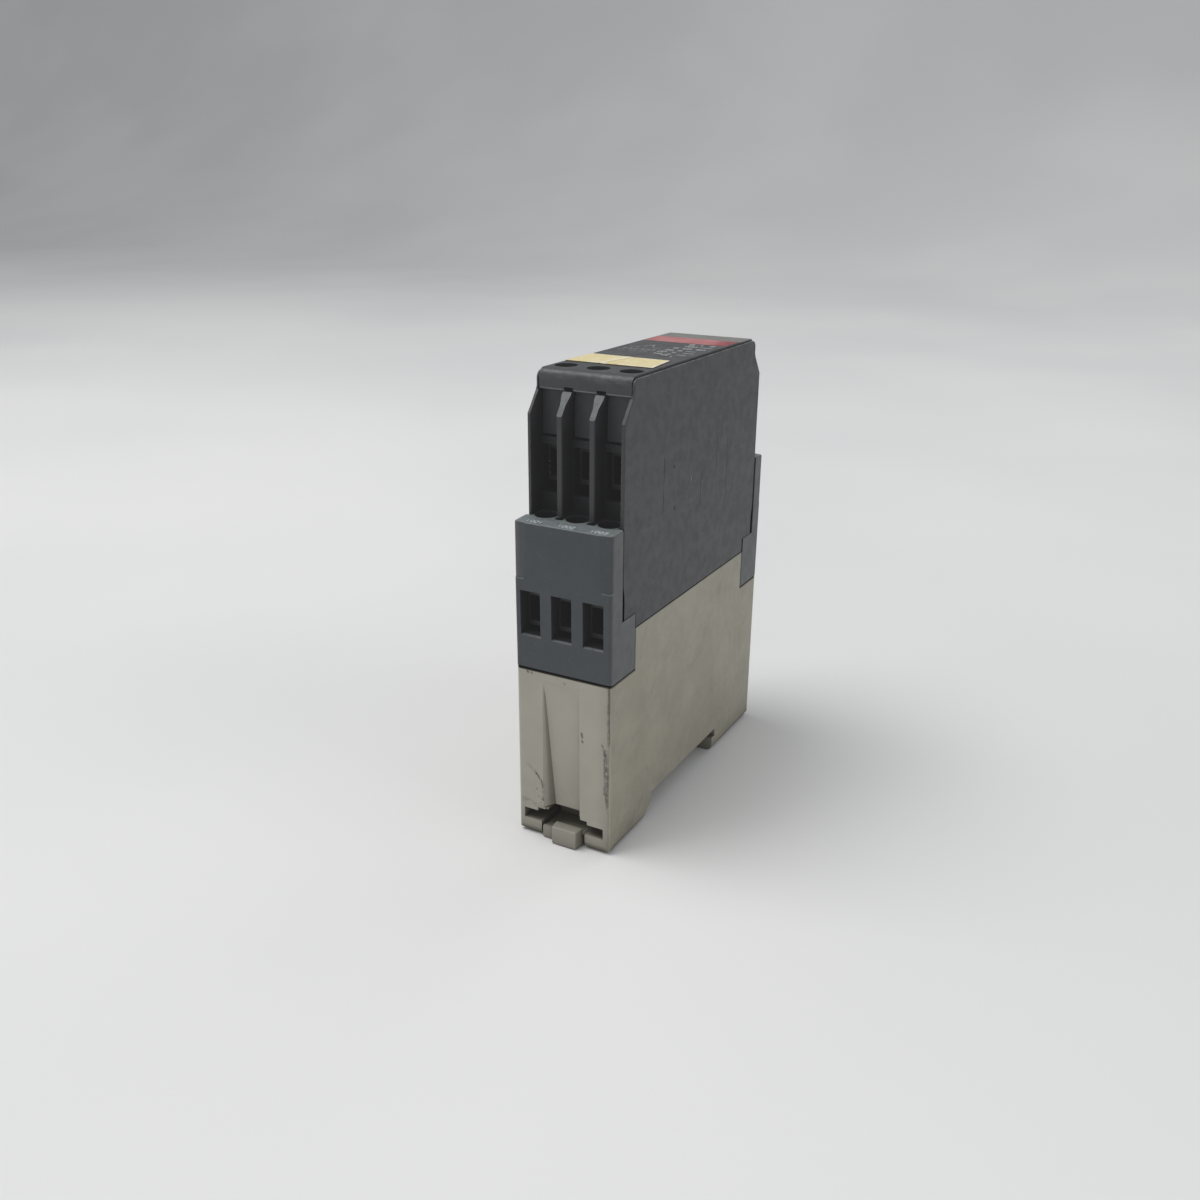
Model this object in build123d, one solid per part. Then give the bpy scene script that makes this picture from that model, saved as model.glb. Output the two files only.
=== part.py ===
from build123d import *
import os, math

# ---------------------------------------------------------------- driving dimensions (mm)
W = 22.5                 # module width, x
L = 78.0                 # length of the mouldings, y
H = 100.0                # height from the rail side to the front face, z
HX, HY = W / 2, L / 2
TAB_OUT = 1.7            # how far the latch tab stands out of the narrow end
LEAN = 0.3               # the terminal blocks stand this much further out at their top
SHIFT_Y = (TAB_OUT - LEAN) / 2    # puts the middle of the whole box on y = 0

PITCH = 7.3              # terminal pitch across the width
XC = (-PITCH, 0.0, PITCH)

# base housing
BASE_TOP = 48.5          # top of the base between the terminal blocks
BASE_SHOULDER = 39.3     # top of the base under the terminal blocks
SHOULDER_Y = 28.4
WALL = 1.5
REC_TOP = 5.5            # depth of the rail recess
REC_FAR = 14.95          # fixed hook tip
HOOK_IN = 16.5           # bottom of the hook's undercut, one edge of a 35 mm rail
HOOK_Z = 3.5
NEAR_FOOT = -23.9        # where the near foot ends on the resting plane
NEAR_WALL = -19.2
FOOT_Z = 3.6             # thickness of the feet below the latch slot
SLOT_Z = 6.0

# terminal blocks
BLK_TOP = 71.1
BLK_STEP = 51.9
BLK_IN = 34.3            # front edge of the side walls above the step
BLK_GAP = 0.25           # open joint between block and side wall
BLK_CORE_X0, BLK_CORE_X1 = -9.85, 9.9
BLK_CORE_Y = 29.0
LINE_Z = 59.0            # parting step on the block's vertical edges
WIN_W, WIN_Z0, WIN_Z1, WIN_DX = 4.75, 46.95, 56.5, -0.25

# upper housing and cap
# the upper mouldings stand a quarter of a millimetre towards +x over the base
DXU = 0.25
UX0, UX1 = -10.6, 11.12  # outer faces of the side walls
XI0, XI1 = -9.95, 10.35  # inner faces
WALL_TOP = 99.5
CAP_TOP = H
CAP_X0, CAP_X1 = -10.05, 10.42
CAP_Y = 30.6
SKIRT_Z = 86.9
SKIRT_Y0, SKIRT_Y1 = 29.5, 28.6
END_Y0, END_Y1 = 29.9, 28.9
BAND_Z = 96.0
HOLE_R = 2.4             # screwdriver holes in the cap
HOLE_Y = -24.8
RIB_X, RIB_T = PITCH / 2, 1.2
RIBS = (DXU - RIB_X, DXU + RIB_X)
XCU = tuple(x + DXU for x in XC)

# terminal hardware
SCREW_R, HEAD_R, HEAD_H = 1.45, 2.2, 2.0
CAGE_X, CAGE_IN, CAGE_Y = 2.65, 2.15, 3.1
TRAVEL = 4.0             # lift of a clamp cage
LOW_Y, LOW_BAR = 32.9, 55.0
UP_Y, UP_BAR = 24.8, 84.0
BAR_T = 1.0

# circuit board
PCB_X0, PCB_T, PCB_Y = 6.5, 1.6, 26.5


def bx(x0, x1, y0, y1, z0, z1):
    return Pos((x0 + x1) / 2, (y0 + y1) / 2, (z0 + z1) / 2) * Box(abs(x1 - x0), abs(y1 - y0), abs(z1 - z0))


def cz(x, y, z0, z1, r):
    return Pos(x, y, (z0 + z1) / 2) * Cylinder(r, z1 - z0)


def cx(x0, x1, y, z, r):
    return Pos((x0 + x1) / 2, y, z) * Rot(0, 90, 0) * Cylinder(r, x1 - x0)


def cy(x, y0, y1, z, r):
    return Pos(x, (y0 + y1) / 2, z) * Rot(90, 0, 0) * Cylinder(r, y1 - y0)


def prism(pts, x0, x1):
    """Outline in the y-z plane, drawn out along x."""
    f = make_face(Polyline(*[(0, p[0], p[1]) for p in pts], close=True))
    return Pos(x0, 0, 0) * extrude(f, x1 - x0, dir=(1, 0, 0))


def soften(s, pick, r, kind="f"):
    """Round or bevel the picked edges, with a smaller size where the full one has no room."""
    for k in (1.0, 0.7, 0.45):
        es = [e for e in s.edges() if pick(e)]
        if not es:
            print("no edge picked", r)
            return s
        try:
            t = fillet(es, r * k) if kind == "f" else chamfer(es, r * k)
            if t.is_valid:
                if k < 1:
                    print("softened at", r * k)
                return t
        except Exception as ex:
            last = ex
    print("edge left sharp", r, last)
    return s


def near(a, b, t=1e-3):
    return abs(a - b) < t


def vert(e, x=None, y=None):
    c, t = e.center(), e % 0.5
    if abs(abs(t.Z) - 1) > 1e-4:
        return False
    return (x is None or near(abs(c.X), x)) and (y is None or near(abs(c.Y), y))


def on_side(e, x):
    b = e.bounding_box()
    return near(abs(b.min.X), x) and near(b.max.X, b.min.X)


def flip(s):
    return mirror(s, about=Plane.XZ)


OUT = {}


def put(name, shape):
    OUT[name] = shape


# ---------------------------------------------------------------- base housing
prof = [(-HY, 0), (NEAR_FOOT, 0), (NEAR_WALL, FOOT_Z), (NEAR_WALL, REC_TOP), (HOOK_IN, REC_TOP),
        (HOOK_IN, HOOK_Z), (REC_FAR, HOOK_Z), (REC_FAR, 0), (HY, 0), (HY, BASE_SHOULDER),
        (SHOULDER_Y, BASE_SHOULDER), (SHOULDER_Y, BASE_TOP), (-SHOULDER_Y, BASE_TOP),
        (-SHOULDER_Y, BASE_SHOULDER), (-HY, BASE_SHOULDER)]
base = prism(prof, -HX, HX)
base = soften(base, lambda e: vert(e, HX, HY), 1.0)
base = soften(base, lambda e: on_side(e, HX), 0.22)
# the feet are well rounded along their outer lower edges
for k in (0, 1):
    lim = bx(-HX, HX, -HY, HY, 0, 60)
    base &= fillet([e for e in lim.edges() if near(e.bounding_box().max.Z, 0) and
                    near(abs((e.center().X, e.center().Y)[k]), (HX, HY)[k])], 1.8)
base -= bx(-HX + WALL, HX - WALL, -HY + 1.7, HY - 1.7, REC_TOP + 1.5, BASE_SHOULDER + 0.5)
base -= bx(-HX + WALL, HX - WALL, -SHOULDER_Y + WALL, SHOULDER_Y - WALL, BASE_SHOULDER, BASE_TOP + 1)
base -= bx(-HX + WALL, HX - WALL, 18.3, HY - 1.7, 1.6, REC_TOP + 1.6)
base += bx(-6.3, 5.5, -HY + 1.6, -35.3, REC_TOP + 1.4, 36.0)
base += bx(-6.3, 5.5, -HY + 1.6, -28.6, REC_TOP + 1.4, 8.9)
for s in (-1, 1):
    base += bx(5.2, HX - WALL + 0.01, s * 20 - 1.75, s * 20 + 1.75, REC_TOP + 1.4, 11.5)
    base -= bx(PCB_X0, PCB_X0 + PCB_T, s * 20 - 2.2, s * 20 + 2.2, 9.2, 12.0)
# scoop that guides a screwdriver down to the latch: deepest at its foot, fading out upwards
low = [(-5.6, -39.4), (-5.0, -38.98), (-4.6, -38.6), (-4.1, -37.9), (-3.7, -37.2), (-3.2, -36.7),
       (3.4, -36.7), (3.85, -37.1), (4.0, -37.8), (4.0, -39.4)]
mid = [(-5.3, -39.4), (-4.92, -38.99), (-4.84, -38.91), (-4.72, -38.77), (-4.6, -38.62), (-4.45, -38.51),
       (3.4, -38.49), (3.78, -38.58), (3.87, -38.73), (3.87, -39.4)]
top = [(x, y if y < -39 else -39 + (y + 39) * 0.04) for x, y in mid]
f0, f1, f2 = (Pos(0, 0, z) * make_face(Polyline(*[(x, y, 0) for x, y in q], close=True)) for q, z in ((low, 7.2), (mid, 33.4), (top, 37.2)))
base -= loft([f0, f1], ruled=True)
base -= loft([f1, f2], ruled=True)
base -= bx(-4.6, 4.1, -HY - 1, -29.8, SLOT_Z - 0.1, 7.45)
base -= bx(-6.4, 5.75, -HY - 1, -37.6, SLOT_Z - 0.1, 6.8)
base -= bx(-9.8, 9.6, -HY - 1, NEAR_WALL + 1, FOOT_Z, SLOT_Z)
base -= bx(-5.5, 5.2, -HY - 1, NEAR_WALL + 1, -1, FOOT_Z + 0.1)
base += bx(6.0, 8.2, -32.9, -31.9, FOOT_Z + 0.2, SLOT_Z + 0.1)
put("base_housing", base)

# ---------------------------------------------------------------- rail latch and its spring
LX0, LX1 = -4.9, 4.3
latch = bx(-9.3, 9.1, -31.7, -19.0, 3.75, 5.75)
latch += bx(-9.3, 9.1, -19.1, -17.2, 3.75, 4.35)
# tongue between the feet; it lies low behind the tab, so that a screwdriver tip can lever there
latch += prism([(-38.8, 0.3), (-23.4, 0.3), (-17.2, 3.8), (-17.2, 4.35), (-31.8, 4.35), (-31.8, 2.6), (-38.8, 2.6)], LX0, LX1)
tab = Pos(0, 0, 0.3) * extrude(make_face(Polyline((-2.2, -38.3), (-2.0, -HY - TAB_OUT), (3.85, -HY - TAB_OUT), (LX1, -38.3), close=True)), 3.95, dir=(0, 0, 1))
tab = soften(tab, lambda e: vert(e) and near(e.center().Y, -HY - TAB_OUT), 0.3)
tab = soften(tab, lambda e: near(e.bounding_box().min.Z, 4.25) and e.center().Y < -HY - TAB_OUT + 0.4, 0.25)
latch += tab
latch += bx(LX0, -2.1, -39.4, -38.7, 0.3, 2.95)
latch -= bx(5.7, 8.5, -33.0, -24.0, 3.0, 6.5)
put("rail_latch", latch)

SP_R, SP_W, SP_N = 0.80, 0.18, 9
sp_len = 7.9 - 0.5
path = Helix(pitch=sp_len / SP_N, height=sp_len, radius=SP_R)
prof_c = Plane(origin=path @ 0, z_dir=path % 0) * Circle(SP_W)
spring = sweep(prof_c, path=path, is_frenet=True)
spring = Pos(7.1, -24.25, 4.75) * Rot(90, 0, 0) * spring
put("latch_spring", spring)

# ---------------------------------------------------------------- terminal blocks


def front_y(z):
    """How far out the block's front face stands at height z."""
    return HY + LEAN * (z - BASE_SHOULDER) / (BLK_TOP - BASE_SHOULDER)


def block():
    back = -BLK_IN - BLK_GAP
    a = prism([(-front_y(LINE_Z), LINE_Z), (-front_y(BLK_TOP), BLK_TOP - 0.2), (back, BLK_TOP), (back, LINE_Z)], -HX, HX)
    # shallow flats beside the vertical edges, which end in a small ledge at the parting step
    yf = front_y(LINE_Z)
    for k in (-1, 1):
        f = make_face(Polyline((k * 6.55, -yf - 0.406), (k * 8.9, -yf), (k * 11.25, -yf + 0.406), (k * 13.6, -yf + 0.812), (k * 13.6, -41), (k * 6.55, -41), close=True))
        a -= Pos(0, 0, LINE_Z - 0.5) * extrude(f, 14, dir=(0, 0, 1))
    a = soften(a, lambda e: abs((e % 0.5).Z) > 0.99 and near(abs(e.center().X), HX) and e.center().Y < -38, 0.6)
    a = soften(a, lambda e: e.bounding_box().min.Z > BLK_TOP - 0.3 and e.center().Y < back - 0.2, 0.4)
    b = prism([(-front_y(BASE_SHOULDER), BASE_SHOULDER), (-yf, LINE_Z), (back, LINE_Z), (back, BLK_STEP), (-SHOULDER_Y - 0.2, BLK_STEP), (-SHOULDER_Y - 0.2, BASE_SHOULDER)], -HX, HX)
    b = soften(b, lambda e: abs((e % 0.5).Z) > 0.99 and near(abs(e.center().X), HX) and e.center().Y < -38, 0.8)
    b = soften(b, lambda e: near(e.bounding_box().max.Z, BASE_SHOULDER) and
               (abs(e.center().X) > HX - 0.9 or e.center().Y < -HY + 0.9), 0.2, "c")
    b = soften(b, lambda e: vert(e, HX, SHOULDER_Y + 0.2), 0.2, "c")
    s = a + b
    s += bx(BLK_CORE_X0, BLK_CORE_X1, back - 0.1, -BLK_CORE_Y, BLK_STEP - 0.1, BLK_TOP)
    s -= bx(-9.7, 9.7, -29.75, -SHOULDER_Y + 1, BASE_SHOULDER - 1, 46.0)
    for x in XC:
        s -= bx(x - 2.85, x + 2.85, -36.35, -29.75, BASE_SHOULDER - 1, 62.0)
        s -= cz(x, -LOW_Y, 61.9, 64.3, 2.4)
        s -= cz(x, -LOW_Y, 64.2, 66.1, 2.0)
        s -= cz(x, -LOW_Y, 66.0, BLK_TOP + 1, 2.4)
        s -= bx(x + WIN_DX - WIN_W / 2, x + WIN_DX + WIN_W / 2, -HY - 1, -36.0, WIN_Z0, WIN_Z1)
        s -= prism([(-40, WIN_Z0 - 1.08), (-38.7, WIN_Z0), (-38.7, WIN_Z0 + 0.1), (-40, WIN_Z0 + 0.1)],
                   x + WIN_DX - WIN_W / 2, x + WIN_DX + WIN_W / 2)
        s -= bx(x - 1.8, x + 1.8, -30.0, -27.0, LOW_BAR - 0.1, LOW_BAR + BAR_T + 0.1)
    # seats for the plate fins of the upper housing, seen as dark notches in the ledge
    for x in RIBS:
        s -= bx(x - 0.9, x + 0.9, -34.9, -33.6, BLK_TOP - 0.8, BLK_TOP + 1)
    return s


blk = block()
put("near_terminal_block", blk)
put("far_terminal_block", flip(blk))

# ---------------------------------------------------------------- upper housing
side = [(-SHOULDER_Y, BASE_TOP), (-SHOULDER_Y, BLK_STEP), (-BLK_IN, BLK_STEP), (-BLK_IN, 91.6), (-31.1, 95.8),
        (-30.75, 96.6), (-30.75, WALL_TOP), (30.75, WALL_TOP), (30.75, 96.6), (31.1, 95.8), (BLK_IN, 91.6), (BLK_IN, BLK_STEP),
        (SHOULDER_Y, BLK_STEP), (SHOULDER_Y, BASE_TOP)]


def side_wall(xi, xo):
    w = prism(side, min(xi, xo), max(xi, xo))
    w = soften(w, lambda e: near(e.bounding_box().min.Z, WALL_TOP) and near(e.bounding_box().max.Z, WALL_TOP) and near(abs(e.center().Y), 30.75), 1.6)
    w = soften(w, lambda e: near(e.bounding_box().min.X, xo) and near(e.bounding_box().max.X, xo) and e.center().Z > BLK_STEP + 0.1, 0.22)
    return w


upper = side_wall(XI1, UX1) + side_wall(XI0, UX0)
# rebate along the top of both walls, in which the cap lies
upper -= bx(CAP_X0 - 0.15, XI0 + 0.5, -32, 32, 95.9, 101)
upper -= bx(XI1 - 0.5, CAP_X1 + 0.26, -32, 32, 95.9, 101)
for s in (-1, 1):
    y0, y1 = sorted((s * END_Y0, s * END_Y1))
    upper += bx(XI0 - 0.05, XI1 + 0.05, y0, y1, BLK_TOP, SKIRT_Z - 0.5)
    for x in RIBS:
        rib = prism([(s * BLK_IN, 71.6), (s * BLK_IN, 91.6), (s * 31.05, 95.9), (s * 28.5, 95.9), (s * 28.5, 71.6)],
                    x - RIB_T / 2, x + RIB_T / 2)
        rib = soften(rib, lambda e: near(abs(e.center().Y), BLK_IN) and vert(e), 0.3)
        # the rib flares to a broad head that lies in the notch of the cap's band
        head = make_face(Polyline((x - 0.98, 0, 95.9), (x + 0.98, 0, 95.9), (x + 0.98, 0, 95.2), (x + 0.58, 0, 93.6), (x - 0.58, 0, 93.6), (x - 0.98, 0, 95.2), close=True))
        head = Pos(0, s * 30.2, 0) * extrude(head, 4, dir=(0, s, 0))
        rib += head & prism([(s * 30.2, 95.9), (s * 31.05, 95.9), (s * (31.05 + 2.3 * 3.25 / 4.3), 93.6), (s * 30.2, 93.6)], x - 2, x + 2)
        upper += rib
for x in XCU:
    upper -= bx(x - 2.9, x + 2.9, -31, -28.6, 75.0, 84.9)
upper += bx(XI0 - 0.05, XI1 + 0.05, -29.8, -19.4, BLK_TOP, 72.3)
upper += bx(XI0 - 0.05, XI1 + 0.05, -20.6, -19.4, BLK_TOP, 95.8)
shelf = bx(XI0 - 0.05, XI1 + 0.05, -28.4, -19.4, 93.3, 95.0)
for x in XCU:
    shelf -= cz(x, HOLE_Y, 93.0, 95.5, 2.0)
upper += shelf
for x in RIBS:
    upper += bx(x - RIB_T / 2, x + RIB_T / 2, -28.6, -19.4, BLK_TOP, 95.9)
for x in XCU:
    upper -= bx(x - 1.8, x + 1.8, -21, -19, UP_BAR - 0.1, UP_BAR + BAR_T + 0.1)
# spigot that drops inside the base, and the web that carries it
for s in (-1, 1):
    upper += bx(s * 9.3, s * 9.7, -24.0, 24.0, BASE_TOP - 2.5, BASE_TOP + 2.0)
upper += bx(XI0 - 0.05, -9.6, -24.0, 24.0, BASE_TOP, BASE_TOP + 2.0)
upper += bx(9.6, XI1 + 0.05, -24.0, 24.0, BASE_TOP, BASE_TOP + 2.0)
# faint witness lines of the mould's inserts, ejector pips and the gate mark on the +x wall
for y, z0, z1 in ((-16.8, 70.7, 81.7), (2.0, 67.3, 74.4), (10.35, 71.7, 81.0), (16.3, 64.4, 79.9)):
    upper -= bx(UX1 - 0.06, UX1 + 0.2, y - 0.07, y + 0.07, z0, z1)
for y, z, r, dep in ((-12.1, 78.9, 0.42, 0.10), (-11.5, 69.8, 0.38, 0.08), (-2.9, 74.1, 0.70, 0.05)):
    upper -= cx(UX1 - dep, UX1 + 0.2, y, z, r)
put("upper_housing", upper)

# ---------------------------------------------------------------- front cap
cap = bx(CAP_X0, CAP_X1, -CAP_Y, CAP_Y, 98.6, CAP_TOP)
for s in (-1, 1):
    y0, y1 = sorted((s * CAP_Y, s * 29.3))
    cap += bx(CAP_X0, CAP_X1, y0, y1, BAND_Z, 98.7)
cap = soften(cap, lambda e: near(e.bounding_box().min.Z, CAP_TOP) and near(abs(e.center().Y), CAP_Y), 1.7)
cap = soften(cap, lambda e: near(e.bounding_box().max.Z, BAND_Z) and near(abs(e.center().Y), CAP_Y), 0.2, "c")
for s in (-1, 1):
    y0, y1 = sorted((s * SKIRT_Y0, s * SKIRT_Y1))
    cap += bx(XI0 + 0.1, XI1 - 0.1, y0, y1, SKIRT_Z, BAND_Z + 2.7)
    for x in RIBS:
        y0, y1 = sorted((s * 31.5, s * 28.3))
        cap -= bx(x - 0.85, x + 0.85, y0, y1, SKIRT_Z - 1, BAND_Z + 0.15)
        cap -= bx(x - 1.05, x + 1.05, y0, y1, BAND_Z - 0.9, BAND_Z + 0.7)
cap += bx(CAP_X0, -8.9, -18.0, 28.0, 96.1, 98.7)
cap += bx(8.9, CAP_X1, -18.0, 28.0, 96.1, 98.7)
for x in XCU:
    cap -= cz(x, HOLE_Y - 0.35, 97.0, CAP_TOP + 1, HOLE_R)
LED_X, LED_Y = 4.2, -3.9
cap -= cz(LED_X, LED_Y, 97.0, CAP_TOP + 1, 1.05)
put("front_cap", cap)

lens = cz(LED_X, LED_Y, 95.4, CAP_TOP + 0.1, 1.02) + cz(LED_X, LED_Y, 95.4, 98.5, 1.5)
put("light_pipe", lens)

# stuck on a little out of square
film = make_face(Polyline((-9.95, -20.4), (9.65, -20.3), (8.75, -10.5), (-9.65, -9.95), close=True))
label = Pos(0, 0, CAP_TOP) * extrude(film, 0.28, dir=(0, 0, 1))
put("marker_label", label)

# ---------------------------------------------------------------- terminal screws, clamp cages, contact bars


def screw(x, y, bar):
    tip = bar + BAR_T + 0.05
    hb = bar + BAR_T + 0.2 + 1.6 + TRAVEL + 0.2
    s = cz(x, y, tip + 0.4, hb + 0.2, SCREW_R)
    s += Pos(x, y, tip + 0.2) * Cone(0.9, SCREW_R, 0.4)
    head = cz(x, y, hb, hb + HEAD_H, HEAD_R)
    head = soften(head, lambda e: near(e.center().Z, hb + HEAD_H) and e.geom_type == GeomType.CIRCLE, 0.3)
    head -= bx(x - 3, x + 3, y - 0.4, y + 0.4, hb + HEAD_H - 1.0, hb + HEAD_H + 1)
    head -= bx(x - 0.45, x + 0.45, y - 1.5, y + 1.5, hb + HEAD_H - 1.2, hb + HEAD_H + 1)
    return s + head


def cage(x, y, bar):
    t0 = bar + BAR_T + 0.2
    b1 = bar - 6.0
    s = bx(x - CAGE_X, x + CAGE_X, y - CAGE_Y, y + CAGE_Y, b1 - 1.0, t0 + 1.6)
    s = soften(s, lambda e: near(abs(e.center().X - x), CAGE_X) and e.bounding_box().size.Y > 5, 0.5)
    s -= bx(x - CAGE_IN, x + CAGE_IN, y - 5, y + 5, b1, t0)
    s -= cz(x, y, t0 - 1, t0 + 3, SCREW_R + 0.05)
    # ridges on the cage floor that grip the wire
    for dy in (-1.6, 0.0, 1.6):
        s -= bx(x - CAGE_IN, x + CAGE_IN, y + dy - 0.2, y + dy + 0.2, b1 - 0.2, b1 + 0.1)
    return s


def contacts(xs_c, yc, bar, y_end, y_tail, pad_y):
    """Three flat bars, each with a tail and a strip across to the board."""
    out = []
    for k, x in enumerate(xs_c):
        zk = bar - 4.8 + 2.0 * k
        s = bx(x - 1.7, x + 1.7, yc - 4.0, y_end, bar, bar + BAR_T)
        s += bx(x - 1.0, x + 1.0, y_tail - 0.8, y_tail, zk, bar + BAR_T)
        s += bx(x - 1.7, x + 1.7, y_end - 0.2, y_tail, bar, bar + BAR_T)
        xs = min(x - 1.0, PCB_X0 - 0.8)
        s += bx(xs, max(PCB_X0, x + 1.0) if k == 2 else PCB_X0, y_tail - 0.8, y_tail, zk, zk + 1.0)
        s += bx(PCB_X0 - 0.8, PCB_X0, y_tail - 0.8, pad_y, zk, zk + 1.0)
        out.append(s)
    return Compound(out)


for i, x in enumerate(XC):
    put(f"near_lower_screw_{i + 1}", screw(x, -LOW_Y, LOW_BAR))
    put(f"near_lower_cage_{i + 1}", cage(x, -LOW_Y, LOW_BAR))
    put(f"near_upper_screw_{i + 1}", screw(x + DXU, -UP_Y, UP_BAR))
    put(f"near_upper_cage_{i + 1}", cage(x + DXU, -UP_Y, UP_BAR))
    put(f"far_lower_screw_{i + 1}", screw(x, LOW_Y, LOW_BAR))
    put(f"far_lower_cage_{i + 1}", cage(x, LOW_Y, LOW_BAR))
low_c = contacts(XC, -LOW_Y, LOW_BAR, -28.5, -27.5, -25.5)
put("near_lower_contacts", low_c)
put("far_lower_contacts", flip(low_c))
put("near_upper_contacts", contacts(XCU, -UP_Y, UP_BAR, -19.2, -18.4, -16.4))

# ---------------------------------------------------------------- circuit board and its parts
PX = PCB_X0
pcb = bx(PX, PX + PCB_T, -PCB_Y, PCB_Y, 9.2, 70.4)
pcb += bx(PX, PX + PCB_T, -18.2, PCB_Y, 70.3, 92.5)
for y, z in ((-22, 64), (22, 88), (22, 14)):
    pcb -= cx(PX - 1, PX + PCB_T + 1, y, z, 1.6)
put("main_board", pcb)


def brick(x1, h, y0, y1, z0, z1, r=0.5):
    """A moulded part standing off the board towards -x."""
    s = bx(x1 - h, x1, y0, y1, z0, z1)
    return soften(s, lambda e: e.center().X < x1 - 0.01, r)


put("output_relay_1", brick(PX - 0.3, 15.3, -3.0, 25.0, 40.5, 53.0, 0.8) + bx(PX - 0.4, PX, 0, 22, 43, 50.5))
put("output_relay_2", brick(PX - 0.3, 15.3, -3.0, 25.0, 55.5, 68.0, 0.8) + bx(PX - 0.4, PX, 0, 22, 58, 65.5))
put("dropping_capacitor_1", brick(PX, 13.5, -25.0, -17.2, 13.0, 31.0))
put("dropping_capacitor_2", brick(PX, 13.5, -15.6, -7.8, 13.0, 31.0))
put("dropping_capacitor_3", brick(PX, 13.5, -6.2, 1.6, 13.0, 31.0))
can = cx(PX - 15.0, PX, 9.0, 21.0, 5.0)
can = soften(can, lambda e: near(e.center().X, PX - 15.0), 0.6)
put("smoothing_capacitor", can)
can2 = cx(PX - 12.0, PX, 21.0, 27.0, 4.0)
put("timing_capacitor", soften(can2, lambda e: near(e.center().X, PX - 12.0), 0.5))
vs = []
for y in (-22.0, -15.0, -8.0):
    vs.append(Pos(PX - 5.0, y, 37.5) * Rot(90, 0, 0) * Cylinder(3.5, 2.6) + bx(PX - 2.0, PX, y - 0.4, y + 0.4, 35.2, 35.9) + bx(PX - 2.0, PX, y - 0.4, y + 0.4, 39.1, 39.8))
put("varistors", Compound(vs))
rs = []
for k in range(3):
    z = 45.0 + 5.0 * k
    r = cy(PX - 2.6, -22.0, -12.0, z, 1.7)
    for y in (-24.0, -10.0):
        r += cy(PX - 2.6, min(y, -17) if y < -17 else -13.0, -21.0 if y < -17 else y, z, 0.35)
        r += cx(PX - 2.9, PX, y + (0.3 if y < -17 else -0.3), z, 0.35)
    rs.append(r)
put("power_resistors", Compound(rs))


def soic(y, z, wy, wz, n, h=1.6):
    s = bx(PX - h, PX - 0.2, y - wy / 2, y + wy / 2, z - wz / 2, z + wz / 2)
    for i in range(n):
        zz = z - wz / 2 + (i + 0.5) * wz / n
        s += bx(PX - 0.5, PX, y - wy / 2 - 1.1, y + wy / 2 + 1.1, zz - 0.2, zz + 0.2)
    return s


put("control_chip", soic(6.0, 79.0, 5.4, 10.0, 8))
put("opto_couplers", Compound([soic(-10.0, 76.0, 4.4, 4.6, 2, 2.4), soic(-10.0, 84.0, 4.4, 4.6, 2, 2.4)]))
put("rectifier_diodes", Compound([brick(PX, 2.3, 12.0 + 5.5 * k, 16.0 + 5.5 * k, 72.0, 74.6, 0.2) for k in range(3)]))
put("ceramic_parts", Compound([brick(PX, 1.0, 12.0 + 3.2 * k, 14.0 + 3.2 * k, zz, zz + 1.25, 0.1) for k in range(4) for zz in (78.0, 82.0, 86.0)]))
put("trim_diodes", Compound([brick(PX, 1.4, -24.5 + 5.0 * k, -21.5 + 5.0 * k, 66.0, 67.8, 0.2) for k in range(4)]))
led = cz(LED_X, LED_Y, 90.6, 93.6, 1.45) + Pos(LED_X, LED_Y, 93.6) * Sphere(1.45, arc_size1=0) + cz(LED_X, LED_Y, 90.2, 91.0, 1.8)
led += bx(LED_X + 1.0, PX, LED_Y - 0.25, LED_Y + 0.25, 90.3, 90.8)
put("status_lamp", led)

# ---------------------------------------------------------------- write one file per piece
os.makedirs("parts", exist_ok=True)
for name, shape in OUT.items():
    export_step(Pos(0, SHIFT_Y, 0) * shape, f"parts/{name}.step")
print(len(OUT), "pieces written")
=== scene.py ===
import math
import random

import bmesh
import bpy
from mathutils import Matrix, Vector


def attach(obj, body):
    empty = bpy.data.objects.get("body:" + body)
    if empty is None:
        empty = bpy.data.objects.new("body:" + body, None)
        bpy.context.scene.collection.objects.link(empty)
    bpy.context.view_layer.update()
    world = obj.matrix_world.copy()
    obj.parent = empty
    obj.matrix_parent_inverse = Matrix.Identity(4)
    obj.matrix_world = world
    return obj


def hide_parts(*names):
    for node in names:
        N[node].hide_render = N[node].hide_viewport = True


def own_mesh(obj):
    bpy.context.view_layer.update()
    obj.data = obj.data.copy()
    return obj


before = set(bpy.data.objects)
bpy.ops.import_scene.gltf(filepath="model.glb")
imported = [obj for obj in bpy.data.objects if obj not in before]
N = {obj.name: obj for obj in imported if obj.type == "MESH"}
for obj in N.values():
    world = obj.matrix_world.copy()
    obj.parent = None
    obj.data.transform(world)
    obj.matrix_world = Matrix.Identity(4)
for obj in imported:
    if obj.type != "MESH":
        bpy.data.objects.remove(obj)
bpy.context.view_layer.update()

MM = 0.001
DY = 0.70            # the mouldings' middle lies this far along +Y of the origin (mm)
scene = bpy.context.scene
scene.view_settings.view_transform = "Standard"
scene.view_settings.look = "None"


# ------------------------------------------------------------------ small helpers
def P(x, y, z):
    """A point of the mouldings' own frame (mm), in metres in the row frame."""
    return Vector((x * MM, (y + DY) * MM, z * MM))


def lin(r, g, b):
    """sRGB 0-255 to linear."""
    out = []
    for c in (r, g, b):
        c /= 255.0
        out.append(c / 12.92 if c <= 0.04045 else ((c + 0.055) / 1.055) ** 2.4)
    return (*out, 1.0)


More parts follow.
